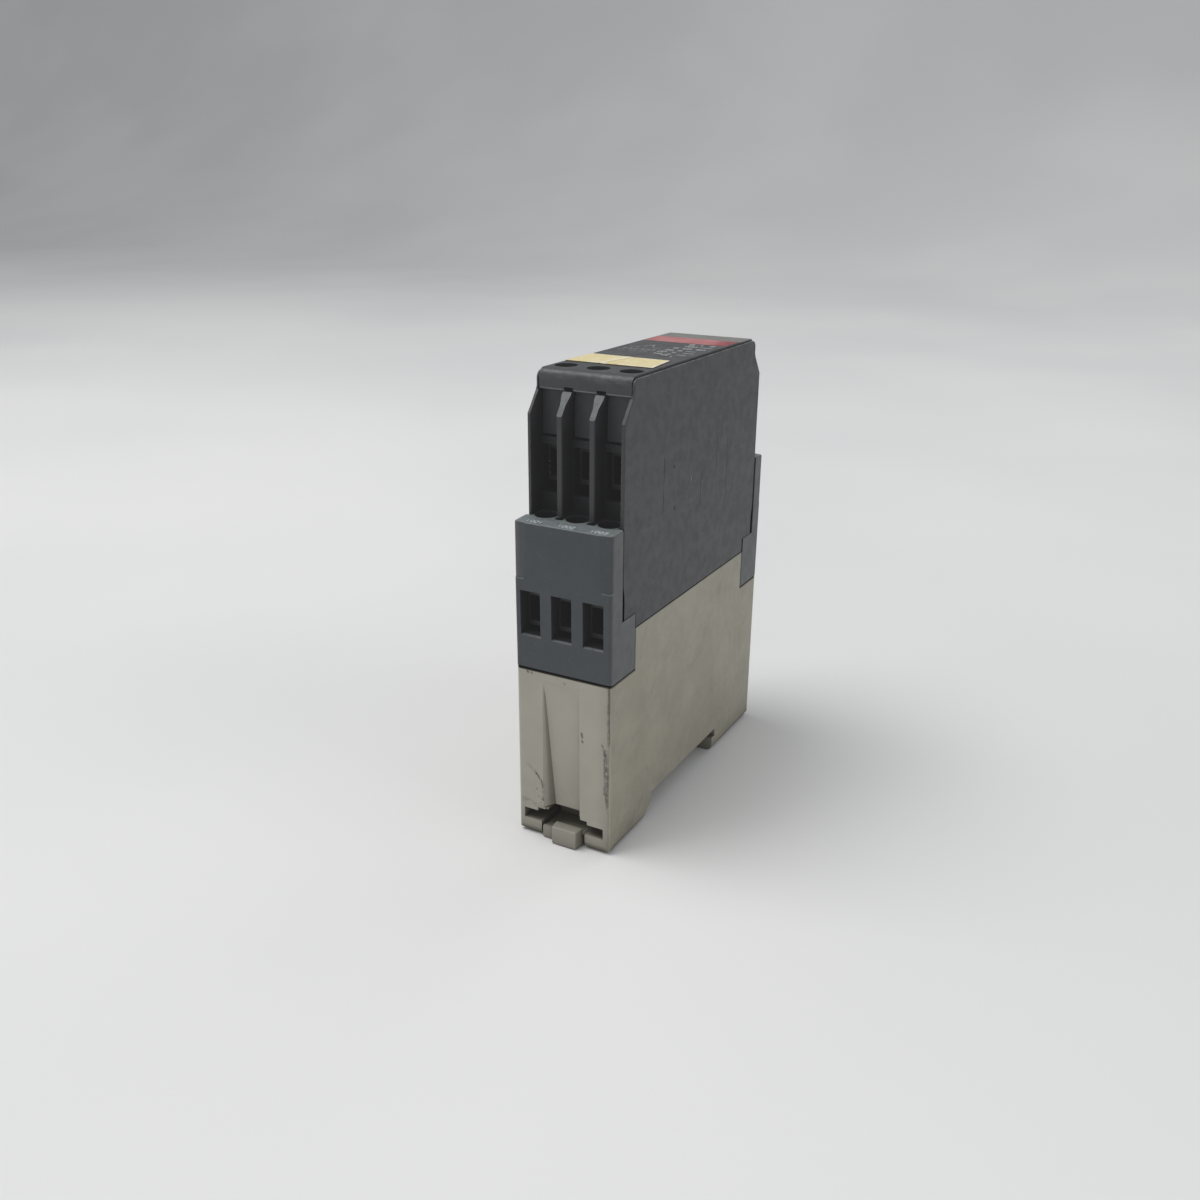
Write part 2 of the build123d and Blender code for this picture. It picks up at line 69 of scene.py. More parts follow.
class Mat:
    """A node material with a few shorthand calls."""

    def __init__(self, name):
        self.m = bpy.data.materials.new(name)
        self.m.use_nodes = True
        self.t = self.m.node_tree
        self.t.nodes.clear()
        self.out = self.t.nodes.new("ShaderNodeOutputMaterial")
        self.b = self.t.nodes.new("ShaderNodeBsdfPrincipled")
        self.t.links.new(self.b.outputs["BSDF"], self.out.inputs["Surface"])
        self.co = self.t.nodes.new("ShaderNodeTexCoord").outputs["Object"]
        self.gap = None      # 1 where an open joint swallows the light

    def node(self, kind, **props):
        n = self.t.nodes.new(kind)
        for k, v in props.items():
            setattr(n, k, v)
        return n

    def put(self, sock, v):
        if isinstance(v, bpy.types.NodeSocket):
            self.t.links.new(v, sock)
        elif v is not None:
            if isinstance(v, (tuple, list, Vector)) and len(v) == 3 and sock.type == "RGBA":
                v = (*v, 1.0)
            sock.default_value = v

    def math(self, op, a, b=None, c=None, clamp=False):
        n = self.node("ShaderNodeMath", operation=op, use_clamp=clamp)
        self.put(n.inputs[0], a)
        if b is not None:
            self.put(n.inputs[1], b)
        if c is not None:
            self.put(n.inputs[2], c)
        return n.outputs[0]

    def vec(self, op, a, b=None, scale=None):
        n = self.node("ShaderNodeVectorMath", operation=op)
        self.put(n.inputs[0], a)
        if b is not None:
            self.put(n.inputs[1], b)
        if scale is not None:
            self.put(n.inputs["Scale"], scale)
        return n.outputs["Value"] if op in ("LENGTH", "DOT_PRODUCT", "DISTANCE") else n.outputs["Vector"]

    def ramp(self, v, a, b, lo=0.0, hi=1.0, smooth=True):
        n = self.node("ShaderNodeMapRange", interpolation_type="SMOOTHSTEP" if smooth else "LINEAR", clamp=True)
        self.put(n.inputs["Value"], v)
        n.inputs["From Min"].default_value = a
        n.inputs["From Max"].default_value = b
        n.inputs["To Min"].default_value = lo
        n.inputs["To Max"].default_value = hi
        return n.outputs["Result"]

    def mix(self, f, a, b):
        n = self.node("ShaderNodeMix", data_type="RGBA", clamp_factor=True)
        self.put(n.inputs["Factor"], f)
        ins = [i for i in n.inputs if i.type == "RGBA"]
        self.put(ins[0], a)
        self.put(ins[1], b)
        return [o for o in n.outputs if o.type == "RGBA"][0]

    def scaled(self, s):
        n = self.node("ShaderNodeMapping", vector_type="POINT")
        self.put(n.inputs["Vector"], self.co)
        n.inputs["Scale"].default_value = s
        return n.outputs["Vector"]

    def noise(self, scale, detail=3.0, rough=0.55, vec=None, distortion=0.0):
        n = self.node("ShaderNodeTexNoise")
        self.put(n.inputs["Vector"], vec or self.co)
        n.inputs["Scale"].default_value = scale
        n.inputs["Detail"].default_value = detail
        n.inputs["Roughness"].default_value = rough
        n.inputs["Distortion"].default_value = distortion
        return n.outputs["Fac"]

    def voronoi(self, scale, feature="F1", vec=None):
        n = self.node("ShaderNodeTexVoronoi", feature=feature)
        self.put(n.inputs["Vector"], vec or self.co)
        n.inputs["Scale"].default_value = scale
        return n.outputs["Distance"]

    def xyz(self):
        n = self.node("ShaderNodeSeparateXYZ")
        self.put(n.inputs[0], self.co)
        return n.outputs[0], n.outputs[1], n.outputs[2]

    def segment(self, a, b, w0, w1):
        """1 on the line from a to b (mouldings' frame, mm), falling to 0 between w0 and w1 mm from it."""
        A, B = P(*a), P(*b)
        d = B - A
        pa = self.vec("SUBTRACT", self.co, A)
        t = self.math("DIVIDE", self.vec("DOT_PRODUCT", pa, d), max(d.length_squared, 1e-12))
        t = self.math("MINIMUM", self.math("MAXIMUM", t, 0.0), 1.0)
        q = self.vec("SCALE", tuple(d), scale=t)
        dist = self.vec("LENGTH", self.vec("SUBTRACT", pa, q))
        return self.ramp(dist, w0 * MM, w1 * MM, 1.0, 0.0)

    def edges(self, radius):
        """1 where the surface turns within the given distance (mm), 0 on flats."""
        bv = self.node("ShaderNodeBevel", samples=6)
        bv.inputs["Radius"].default_value = radius * MM
        g = self.node("ShaderNodeNewGeometry")
        d = self.vec("DOT_PRODUCT", bv.outputs["Normal"], g.outputs["Normal"])
        return self.ramp(d, 0.995, 0.86, 0.0, 1.0)

    def hollows(self, distance):
        """1 in creases, 0 in the open."""
        n = self.node("ShaderNodeAmbientOcclusion", samples=8)
        n.inputs["Distance"].default_value = distance * MM
        return self.ramp(n.outputs["AO"], 0.35, 0.95, 1.0, 0.0)

    def bump(self, h, strength, dist, normal=None):
        n = self.node("ShaderNodeBump")
        n.inputs["Strength"].default_value = strength
        n.inputs["Distance"].default_value = dist * MM
        self.put(n.inputs["Height"], h)
        if normal is not None:
            self.put(n.inputs["Normal"], normal)
        return n.outputs["Normal"]


def give(obj, m):
    obj.data.materials.clear()
    obj.data.materials.append(m)


# ------------------------------------------------------------------ moulded plastics
def moulded(name, col, rough=0.5, grain=0.5, edge=0.25, edge_col=None, dust_and_crease_shade=0.25, spec=0.5, blotch=0.10, extra=None, grain_scale=3600, recess_shade=0.0, recess_shade_col=None, painted_glow=0.0):
    m = Mat(name)
    big = m.noise(55, 3, 0.6)
    mid = m.noise(420, 4, 0.6)
    fine = m.noise(grain_scale, 2, 0.5)
    darker = tuple(c * (1 - blotch * 1.6) for c in col[:3])
    lighter = tuple(min(1, c * (1 + blotch)) for c in col[:3])
    c = m.mix(m.ramp(big, 0.3, 0.7), darker, lighter)
    c = m.mix(m.math("MULTIPLY", m.ramp(mid, 0.42, 0.75), 0.22), c, lighter)
    # lighter rounded edges: edge wear, and painted highlights where the edges catch the light
    e = m.edges(0.22)
    en = m.math("MULTIPLY", e, m.ramp(m.noise(900, 3, 0.6), 0.35, 0.7))
    ec = edge_col or tuple(min(1, x * 1.9 + 0.02) for x in col[:3])
    c = m.mix(m.math("MULTIPLY", en, edge), c, ec)
    # darker in creases: dust, and painted shade where the light is cut off
    h = m.hollows(1.4)
    c = m.mix(m.math("MULTIPLY", h, dust_and_crease_shade), c, tuple(x * 0.45 for x in col[:3]))
    r = m.math("ADD", m.ramp(mid, 0.3, 0.75, rough - 0.07, rough + 0.08), m.math("MULTIPLY", en, -0.08))
    hgt = m.math("ADD", m.math("MULTIPLY", fine, 0.8), m.math("MULTIPLY", m.noise(1300, 3, 0.6), 0.5))
    nrm = m.bump(hgt, grain, 0.03)
    if extra:
        c, r, nrm = extra(m, c, r, nrm)
    shut = m.math("SUBTRACT", 1.0, m.gap, clamp=True) if m.gap is not None else 1.0
    # painted shade: colour darkened and specular cut back deep in recesses, where little light reaches
    if recess_shade:
        far_in = m.node("ShaderNodeAmbientOcclusion", samples=8)
        far_in.inputs["Distance"].default_value = 8.0 * MM
        dk = m.ramp(far_in.outputs["AO"], 0.30, 0.80, recess_shade, 0.0)
        c = m.mix(dk, c, recess_shade_col or tuple(x * 0.12 for x in col[:3]))
        m.put(m.b.inputs["Specular IOR Level"], m.math("MULTIPLY", m.math("SUBTRACT", spec, m.math("MULTIPLY", dk, spec * 0.8)), shut))
    else:
        m.b.inputs["Specular IOR Level"].default_value = spec
    m.put(m.b.inputs["Base Color"], c)
    m.put(m.b.inputs["Roughness"], r)
    m.put(m.b.inputs["Normal"], nrm)
    # painted light: the surface glows faintly to lift its darks, less in the open joints
    if painted_glow:
        m.b.inputs["Emission Color"].default_value = (0.97, 0.97, 1.0, 1.0)
        if m.gap is None:
            m.b.inputs["Emission Strength"].default_value = painted_glow
        else:
            m.put(m.b.inputs["Emission Strength"], m.math("MULTIPLY", shut, painted_glow))
    return m.m


def base_marks(m, c, r, nrm):
    """Rub marks and grime on the beige case, where the photo shows them, with painted shade on the scoop's left wall,
    the wide side, the narrow end's vertical edges and the open joint under the parting line.
    """
    x, y, z = m.xyz()
    streaks = m.noise(620, 5, 0.7, vec=m.scaled((1.0, 1.0, 0.30)))
    spots = m.noise(1700, 4, 0.7)
    ragged = m.noise(950, 5, 0.75)
    grime = lin(50, 47, 42)
    soft = lin(98, 95, 86)

    def add(col, mask, amount, cc):
        return m.mix(m.math("MULTIPLY", mask, amount), cc, col)

    # smear beside the right vertical edge of the narrow end: a grey rub with darker ragged flecks in it
    fleck = m.math("ADD", m.math("MULTIPLY", streaks, 0.45), m.math("MULTIPLY", spots, 0.55))
    for a, b, w, k in (((10.1, -39.0, 24.6), (10.2, -39.0, 19.6), 0.75, 0.55), ((10.3, -39.0, 20.0), (10.2, -39.0, 14.8), 0.80, 0.80),
                       ((10.3, -39.0, 14.6), (10.6, -39.0, 11.8), 0.45, 0.70), ((10.55, -39.0, 36.5), (10.75, -39.0, 26.0), 0.40, 0.55)):
        c = add(soft, m.math("MULTIPLY", m.segment(a, b, w * 0.45, w), m.ramp(m.math("ADD", m.math("MULTIPLY", ragged, 0.6), m.math("MULTIPLY", m.noise(420, 3, 0.6), 0.4)), 0.40, 0.52)), k, c)
    for a, b, w0, w1, k in (((9.95, -39.0, 24.2), (10.2, -39.0, 20.4), 0.10, 0.60, 0.85), ((9.95, -39.0, 19.8), (9.8, -39.0, 15.4), 0.02, 0.26, 0.50),
                            ((10.6, -39.0, 21.5), (10.6, -39.0, 12.0), 0.05, 0.30, 0.65), ((10.1, -39.0, 14.4), (10.6, -39.0, 10.4), 0.02, 0.26, 0.70),
                            ((9.3, -39.0, 25.9), (10.1, -39.0, 24.0), 0.02, 0.40, 0.70), ((10.6, -39.0, 35.8), (10.75, -39.0, 27.0), 0.02, 0.26, 0.85),
                            ((10.5, -39.0, 39.0), (10.6, -39.0, 35.6), 0.02, 0.18, 0.65)):
        c = add(grime, m.math("MULTIPLY", m.segment(a, b, w0, w1), m.ramp(fleck, 0.47, 0.55)), k, c)
    # dotted scrape at the lower left: small black specks in a row, in a faint halo
    pts = ((-8.8, -39.0, 16.7), (-7.0, -39.0, 15.5), (-6.0, -39.0, 14.3), (-5.1, -39.0, 12.7), (-5.05, -39.0, 10.9), (-5.2, -39.0, 8.9))
    for i in range(len(pts) - 1):
        c = add(soft, m.math("MULTIPLY", m.segment(pts[i], pts[i + 1], 0.1, 0.7), m.ramp(ragged, 0.40, 0.62)), 0.40, c)
    rnd = random.Random(11)
    for i, (p0, p1) in enumerate(zip(pts, pts[1:])):
        if i == 0:
            c = add(grime, m.math("MULTIPLY", m.segment(p0, p1, 0.02, 0.16), m.ramp(spots, 0.48, 0.56)), 0.45, c)
            continue
        n_dots = 3
        for j in range(n_dots):
            t = (j + 0.5) / n_dots
            q = tuple(a0 + (a1 - a0) * t for a0, a1 in zip(p0, p1))
            dx, dz = rnd.uniform(-0.14, 0.14), rnd.uniform(-0.1, 0.1)
            ln = rnd.uniform(0.05, 0.35)
            q = (q[0] + dx, q[1], q[2] + dz)
            c = add(grime, m.math("MULTIPLY", m.segment(q, (q[0] + ln * 0.4, q[1], q[2] - ln), 0.05, rnd.uniform(0.20, 0.36)), m.ramp(m.math("ADD", m.math("MULTIPLY", spots, 0.5), m.math("MULTIPLY", ragged, 0.5)), 0.44, 0.52)), 0.95, c)
    for q in ((-6.6, -39.0, 11.4), (-6.2, -39.0, 9.6), (-4.6, -39.0, 8.3), (-5.6, -39.0, 8.2)):
        c = add(soft, m.segment(q, (q[0] + 0.05, q[1], q[2] - 0.1), 0.05, 0.35), 0.55, c)
    c = add(soft, m.math("MULTIPLY", m.segment((-9.8, -39.0, 8.0), (-5.4, -39.0, 7.0), 0.2, 1.1), m.ramp(ragged, 0.40, 0.60)), 0.45, c)
    # marks by the scoop's right rim and under the parting joint
    for q, ln, k in (((4.45, -39.0, 27.4), 0.9, 0.85), ((4.55, -39.0, 25.8), 0.4, 0.7), ((-8.5, -39.0, 38.75), 0.25, 0.8), ((-7.6, -39.0, 38.6), 0.2, 0.6), ((0.3, -39.0, 37.9), 0.2, 0.5)):
        c = add(grime, m.math("MULTIPLY", m.segment(q, (q[0] + 0.15, q[1], q[2] - ln), 0.08, 0.36), m.ramp(spots, 0.34, 0.50)), k, c)
    # smears on the wide side
    for a, b, w, k in (((11.25, -21.3, 30.0), (11.25, -18.6, 33.0), 0.9, 0.55), ((11.25, -22.0, 13.2), (11.25, -21.4, 12.4), 0.7, 0.40),
                       ((11.25, -13.0, 38.0), (11.25, -11.5, 41.0), 0.6, 0.30), ((11.25, 3.0, 35.0), (11.25, 5.0, 36.5), 0.6, 0.25),
                       ((11.25, -36.5, 3.0), (11.25, -12.0, 6.5), 3.6, 0.34), ((11.25, 16.0, 5.0), (11.25, 36.0, 2.0), 2.6, 0.34),
                       ((11.25, -38.0, 36.0), (11.25, -37.2, 12.0), 0.9, 0.22)):
        c = add(soft, m.math("MULTIPLY", m.segment(a, b, w * 0.2, w), m.ramp(m.noise(380, 5, 0.7), 0.38, 0.62)), k, c)
    # general faint soiling, heavier low down
    low = m.ramp(z, 0.0, 24 * MM, 1.0, 0.0)
    c = add(soft, m.math("MULTIPLY", low, m.ramp(m.noise(160, 5, 0.7), 0.40, 0.70)), 0.22, c)
    # darker lines down both vertical edges of the narrow end: painted shade of the rounded corners, with dirt drawn
    # into the upper part of the right edge
    line = lin(66, 62, 52)
    for a, b, w0, w1, k in (((10.75, -38.9, 39.2), (10.80, -38.9, 33.5), 0.08, 0.42, 0.80), ((10.80, -38.9, 33.5), (10.95, -38.8, 26.5), 0.04, 0.28, 0.72),
                            ((10.85, -38.9, 26.5), (10.85, -38.9, 1.5), 0.02, 0.22, 0.42), ((-11.12, -38.6, 39.0), (-11.12, -38.6, 1.5), 0.05, 0.30, 0.50)):
        c = add(line, m.math("MULTIPLY", m.segment(a, b, w0, w1), m.ramp(streaks, 0.24, 0.46)), k, c)
    # painted shade in the open joint under the parting line, which also dims the glow and specular there
    under = m.ramp(m.math("ABSOLUTE", m.math("SUBTRACT", y, DY * MM)), 28.3 * MM, 28.45 * MM, smooth=False)
    line = m.math("MULTIPLY", under, m.math("MULTIPLY", m.ramp(z, 38.86 * MM, 39.04 * MM), m.ramp(z, 39.5 * MM, 39.6 * MM, 1.0, 0.0)))
    c = add(lin(26, 25, 23), line, 0.92, c)
    m.gap = m.math("MULTIPLY", line, 0.9)
    # a little darker towards the feet
    foot = m.ramp(z, 3.5 * MM, 7.0 * MM, 1.0, 0.0)
    c = add(soft, foot, 0.12, c)
    # the wide side is painted darker and a little yellower than the narrow ends: painted shade, as it gets less light
    n = m.node("ShaderNodeNewGeometry")
    sx = m.node("ShaderNodeSeparateXYZ")
    m.put(sx.inputs[0], n.outputs["Normal"])
    wide = m.ramp(m.math("ABSOLUTE", sx.outputs[0]), 0.6, 0.95)
    # painted shade on the scoop's left wall: darkest towards its foot, paler near its rim
    wall = m.math("MULTIPLY", m.ramp(sx.outputs[0], 0.25, 0.75), m.math("MULTIPLY", m.ramp(m.math("ABSOLUTE", x), 6.0 * MM, 6.4 * MM, 1.0, 0.0), m.ramp(z, 6.9 * MM, 7.1 * MM)))
    width = m.math("ADD", m.math("MULTIPLY", m.math("SUBTRACT", 33.4 * MM, z), 0.0477), 0.48 * MM)
    across = m.math("DIVIDE", m.math("ADD", x, 4.95 * MM), m.math("MAXIMUM", width, 0.3 * MM))
    c = add(lin(76, 70, 56), m.math("MULTIPLY", wall, m.ramp(across, 0.15, 1.05)), 0.80, c)
    c = add(lin(160, 157, 144), m.math("MULTIPLY", wall, m.ramp(across, 0.0, 0.55, 1.0, 0.0)), 0.55, c)
    # darker towards the right edge of the narrow end, in blotches
    near_edge = m.math("MULTIPLY", m.ramp(x, 7.4 * MM, 10.9 * MM), m.math("MULTIPLY", m.ramp(sx.outputs[1], -0.9, -0.6, 1.0, 0.0), m.ramp(m.noise(150, 4, 0.65), 0.25, 0.65, 0.5, 1.0)))
    c = add(lin(120, 117, 105), near_edge, 0.34, c)
    # painted shade on the wide side, with its yellower tone
    c = m.mix(m.math("MULTIPLY", wide, m.ramp(m.math("ABSOLUTE", x), 10.9 * MM, 11.1 * MM, 0.0, 0.60)), c, m.mix(m.ramp(m.noise(120, 4, 0.6), 0.35, 0.7), lin(139, 135, 116), lin(154, 150, 131)))
    c = add(soft, m.math("MULTIPLY", wide, m.ramp(m.noise(90, 5, 0.65), 0.50, 0.75)), 0.25, c)
    c = add(grime, m.ramp(m.noise(2600, 2, 0.5), 0.71, 0.76), 0.30, c)
    r = m.math("ADD", r, m.math("MULTIPLY", low, 0.06))
    return c, r, nrm


def side_marks(m, c, r, nrm):
    """Faint rubs and drawn-out scuffs on the dark upper case, with painted light on its sloping faces and the walls'
    top edge, and painted shade in the channels and along the open joints.
    """
    x, y, z = m.xyz()
    scr = m.noise(900, 3, 0.6, vec=m.scaled((1.0, 0.12, 1.0)))
    c = m.mix(m.math("MULTIPLY", m.ramp(scr, 0.66, 0.74), 0.10), c, lin(150, 150, 148))
    # pale speck at the gate mark and dull spots in the ejector pips
    c = m.mix(m.math("MULTIPLY", m.segment((11.1, -2.9, 74.4), (11.1, -2.9, 73.8), 0.05, 0.34), 0.40), c, lin(160, 160, 158))
    for q, w in (((11.1, -12.1, 78.9), 0.50), ((11.1, -11.5, 69.8), 0.45)):
        c = m.mix(m.math("MULTIPLY", m.segment(q, (q[0], q[1], q[2] + 0.01), w * 0.5, w), 0.75), c, lin(40, 40, 41))
    for yy, z0, z1 in ((-16.8, 70.7, 81.7), (2.0, 67.3, 74.4), (10.35, 71.7, 81.0), (16.3, 64.4, 79.9)):
        c = m.mix(m.math("MULTIPLY", m.segment((11.1, yy, z0), (11.1, yy, z1), 0.05, 0.20), 0.55), c, lin(52, 52, 53))
    # sloping faces of the fins and walls are painted pale: painted light on faces turned up towards the light
    n = m.node("ShaderNodeNewGeometry")
    sx = m.node("ShaderNodeSeparateXYZ")
    m.put(sx.inputs[0], n.outputs["Normal"])
    slope = m.math("MULTIPLY", m.ramp(sx.outputs[2], 0.22, 0.45), m.ramp(m.math("ABSOLUTE", sx.outputs[1]), 0.25, 0.5))
    slope = m.math("MULTIPLY", slope, m.math("MULTIPLY", m.ramp(z, 86 * MM, 90 * MM), m.ramp(m.math("ABSOLUTE", x), 8.0 * MM, 9.5 * MM, 1.0, 0.10)))
    c = m.mix(m.math("MULTIPLY", slope, m.ramp(m.noise(800, 4, 0.6), 0.25, 0.65, 0.26, 0.50)), c, lin(140, 141, 142))
    # painted shade along the open joints beside the terminal blocks and at the walls' foot, which also dims the glow
    # and specular there
    yy = m.math("ABSOLUTE", m.math("SUBTRACT", y, DY * MM))
    joint = m.math("MULTIPLY", m.ramp(yy, 33.95 * MM, 34.2 * MM), m.ramp(z, 71.0 * MM, 71.2 * MM, 1.0, 0.0))
    c = m.mix(m.math("MULTIPLY", joint, 0.75), c, lin(30, 30, 31))
    thick = m.math("MULTIPLY", m.ramp(m.math("ADD", yy, m.ramp(z, 56.0 * MM, 60.5 * MM, 0.62 * MM, 0.0)), 34.12 * MM, 34.26 * MM), m.ramp(z, 64.0 * MM, 66.0 * MM, 1.0, 0.0))
    c = m.mix(m.math("MULTIPLY", thick, 0.92), c, lin(20, 20, 21))
    foot_line = m.math("MULTIPLY", m.ramp(z, 48.74 * MM, 48.88 * MM, 1.0, 0.0), m.ramp(m.math("ABSOLUTE", x), 10.2 * MM, 10.4 * MM))
    c = m.mix(m.math("MULTIPLY", foot_line, 0.92), c, lin(20, 20, 20))
    m.gap = m.math("MAXIMUM", m.math("MULTIPLY", joint, 0.8), m.math("MAXIMUM", thick, m.math("MULTIPLY", foot_line, 0.85)))
    # painted shade on the insides of the channels, up to just behind the fins' front edges
    inner = m.math("MULTIPLY", m.ramp(yy, 33.5 * MM, 34.1 * MM, 1.0, 0.0), m.ramp(z, 87.5 * MM, 90.0 * MM, 1.0, 0.0))
    inner = m.math("MULTIPLY", inner, m.ramp(m.math("ABSOLUTE", m.math("SUBTRACT", x, 0.25 * MM)), 10.15 * MM, 10.3 * MM, 1.0, 0.0))
    c = m.mix(m.math("MULTIPLY", inner, 0.60), c, lin(30, 31, 33))
    # painted highlight along the rounded top edge of the walls, in mottled patches
    top = m.math("MULTIPLY", m.ramp(z, 99.2 * MM, 99.8 * MM), m.ramp(m.noise(1100, 4, 0.65), 0.40, 0.62))
    c = m.mix(m.math("MULTIPLY", top, 0.45), c, lin(170, 170, 168))
    return c, r, nrm


def cap_marks(m, c, r, nrm):
    """The lighter field past the stripe, handling marks, a painted highlight in worn-looking specks on the rounded end,
    and a painted highlight line on the band's lip.
    """
    x, y, z = m.xyz()
    yy = m.math("SUBTRACT", y, DY * MM)
    far = m.math("MULTIPLY", m.ramp(yy, 22.25 * MM, 22.35 * MM, smooth=False), m.ramp(z, 99.6 * MM, 99.9 * MM))
    c = m.mix(far, c, m.mix(m.ramp(m.noise(300, 4, 0.6), 0.3, 0.7), lin(112, 112, 109), lin(123, 123, 119)))
    # painted highlight along the rounded near end, mottled like wear, and a little glossier there
    bend = m.math("MULTIPLY", m.ramp(yy, -30.2 * MM, -29.3 * MM, 1.0, 0.0), m.ramp(z, 97.6 * MM, 98.6 * MM))
    rub_and_sheen = m.math("MULTIPLY", bend, m.ramp(m.noise(420, 5, 0.7, vec=m.scaled((0.5, 1.0, 1.0))), 0.44, 0.66))
    c = m.mix(m.math("MULTIPLY", rub_and_sheen, 0.30), c, lin(118, 120, 121))
    # painted highlight: a light line along the band's lower lip
    lip = m.math("MULTIPLY", m.math("MULTIPLY", m.ramp(z, 96.24 * MM, 96.34 * MM, 1.0, 0.0), m.ramp(z, 95.9 * MM, 95.95 * MM)), m.ramp(yy, -30.3 * MM, -30.2 * MM, 1.0, 0.0))
    c = m.mix(m.math("MULTIPLY", lip, 0.60), c, lin(150, 152, 153))
    c = m.mix(m.math("MULTIPLY", m.ramp(m.noise(1500, 3, 0.6), 0.655, 0.70), 0.75), c, lin(34, 34, 35))
    wipe = m.ramp(m.noise(160, 4, 0.6, vec=m.scaled((2.5, 0.6, 1.0))), 0.42, 0.75)
    r = m.math("ADD", r, m.math("MULTIPLY", wipe, 0.10))
    r = m.math("SUBTRACT", r, m.math("MULTIPLY", rub_and_sheen, 0.10))
    return c, r, nrm


def block_marks(m, c, r, nrm):
    """Pale rubbed specks on the block's lips and a dull band above the windows, with painted light on the flanks, the
    ledge, the small steps and the upper front's left edge, and painted shade in the windows and the open joints.
    """
    x, y, z = m.xyz()
    lip = m.math("MULTIPLY", m.ramp(m.noise(1300, 3, 0.6), 0.60, 0.68), 0.10)
    c = m.mix(lip, c, lin(112, 118, 119))
    c = m.mix(m.math("MULTIPLY", m.ramp(m.noise(1800, 3, 0.6), 0.70, 0.74), 0.5), c, lin(44, 48, 50))
    # painted shade in the open joints below and behind the block, which also dims the glow and specular there
    seam = m.ramp(z, 39.50 * MM, 39.72 * MM, 1.0, 0.0)
    c = m.mix(m.math("MULTIPLY", seam, m.ramp(m.noise(900, 3, 0.6), 0.25, 0.5, 0.80, 0.96)), c, lin(18, 19, 20))
    # the flanks of the blocks are painted paler and greyer than their fronts: painted light on the side faces
    n = m.node("ShaderNodeNewGeometry")
    sx = m.node("ShaderNodeSeparateXYZ")
    m.put(sx.inputs[0], n.outputs["Normal"])
    flank = m.ramp(m.math("ABSOLUTE", sx.outputs[0]), 0.55, 0.95)
    outer = m.ramp(m.math("ABSOLUTE", x), 11.0 * MM, 11.15 * MM)
    c = m.mix(m.math("MULTIPLY", m.math("MULTIPLY", flank, outer), 0.85), c, m.mix(m.ramp(m.noise(240, 4, 0.6), 0.3, 0.7), lin(82, 84, 87), lin(92, 93, 96)))
    yy = m.math("ABSOLUTE", m.math("SUBTRACT", y, DY * MM))
    # painted shade along the block's back edge and in the joint behind it
    back_edge = m.math("MULTIPLY", m.math("MULTIPLY", m.ramp(yy, 34.72 * MM, 34.92 * MM, 1.0, 0.0), m.ramp(yy, 34.3 * MM, 34.4 * MM)), m.ramp(z, 51.7 * MM, 51.95 * MM))
    c = m.mix(m.math("MULTIPLY", back_edge, 0.80), c, lin(26, 28, 29))
    rear = m.math("MULTIPLY", m.math("MULTIPLY", m.ramp(yy, 28.78 * MM, 28.98 * MM, 1.0, 0.0), m.ramp(z, 48.4 * MM, 48.7 * MM)), outer)
    c = m.mix(m.math("MULTIPLY", rear, 0.90), c, lin(20, 21, 22))
    m.gap = m.math("MAXIMUM", m.math("MULTIPLY", seam, 0.95), m.math("MULTIPLY", rear, 0.9))
    # painted shade in the windows just behind their lips
    inside = m.math("MULTIPLY", m.math("MULTIPLY", m.ramp(yy, 38.55 * MM, 38.80 * MM, 1.0, 0.0), m.ramp(z, 61.0 * MM, 62.0 * MM, 1.0, 0.0)), m.ramp(m.math("ABSOLUTE", x), 10.6 * MM, 10.8 * MM, 1.0, 0.0))
    c = m.mix(m.math("MULTIPLY", inside, 0.80), c, lin(50, 51, 54))
    # painted light: the ledge's upward faces and its front lip are lighter, with highlights on the small steps on the
    # vertical edges and a painted reflection along the left edge of the upper front
    top = m.math("MULTIPLY", m.ramp(sx.outputs[2], 0.6, 0.95), m.ramp(z, 70.0 * MM, 70.6 * MM))
    c = m.mix(m.math("MULTIPLY", top, m.ramp(m.noise(700, 4, 0.65), 0.25, 0.6, 0.45, 0.85)), c, lin(124, 131, 132))
    rim = m.math("MULTIPLY", m.ramp(z, 70.72 * MM, 70.88 * MM), m.ramp(yy, 39.05 * MM, 39.25 * MM))
    c = m.mix(m.math("MULTIPLY", rim, m.ramp(m.noise(900, 3, 0.6), 0.3, 0.6, 0.25, 0.75)), c, lin(138, 144, 145))
    step = m.math("MULTIPLY", m.math("MULTIPLY", m.ramp(m.math("ABSOLUTE", m.math("SUBTRACT", z, 59.02 * MM)), 0.05 * MM, 0.18 * MM, 1.0, 0.0), m.ramp(m.math("ABSOLUTE", x), 8.8 * MM, 9.2 * MM)), m.ramp(yy, 38.2 * MM, 38.5 * MM))
    c = m.mix(m.math("MULTIPLY", step, 0.50), c, lin(146, 152, 153))
    left = m.math("MULTIPLY", m.math("MULTIPLY", m.ramp(x, -10.9 * MM, -9.4 * MM, 1.0, 0.0), m.ramp(z, 58.9 * MM, 59.3 * MM)), m.ramp(yy, 38.2 * MM, 38.5 * MM))
    c = m.mix(m.math("MULTIPLY", left, 0.40), c, lin(104, 104, 104))
    return c, r, nrm


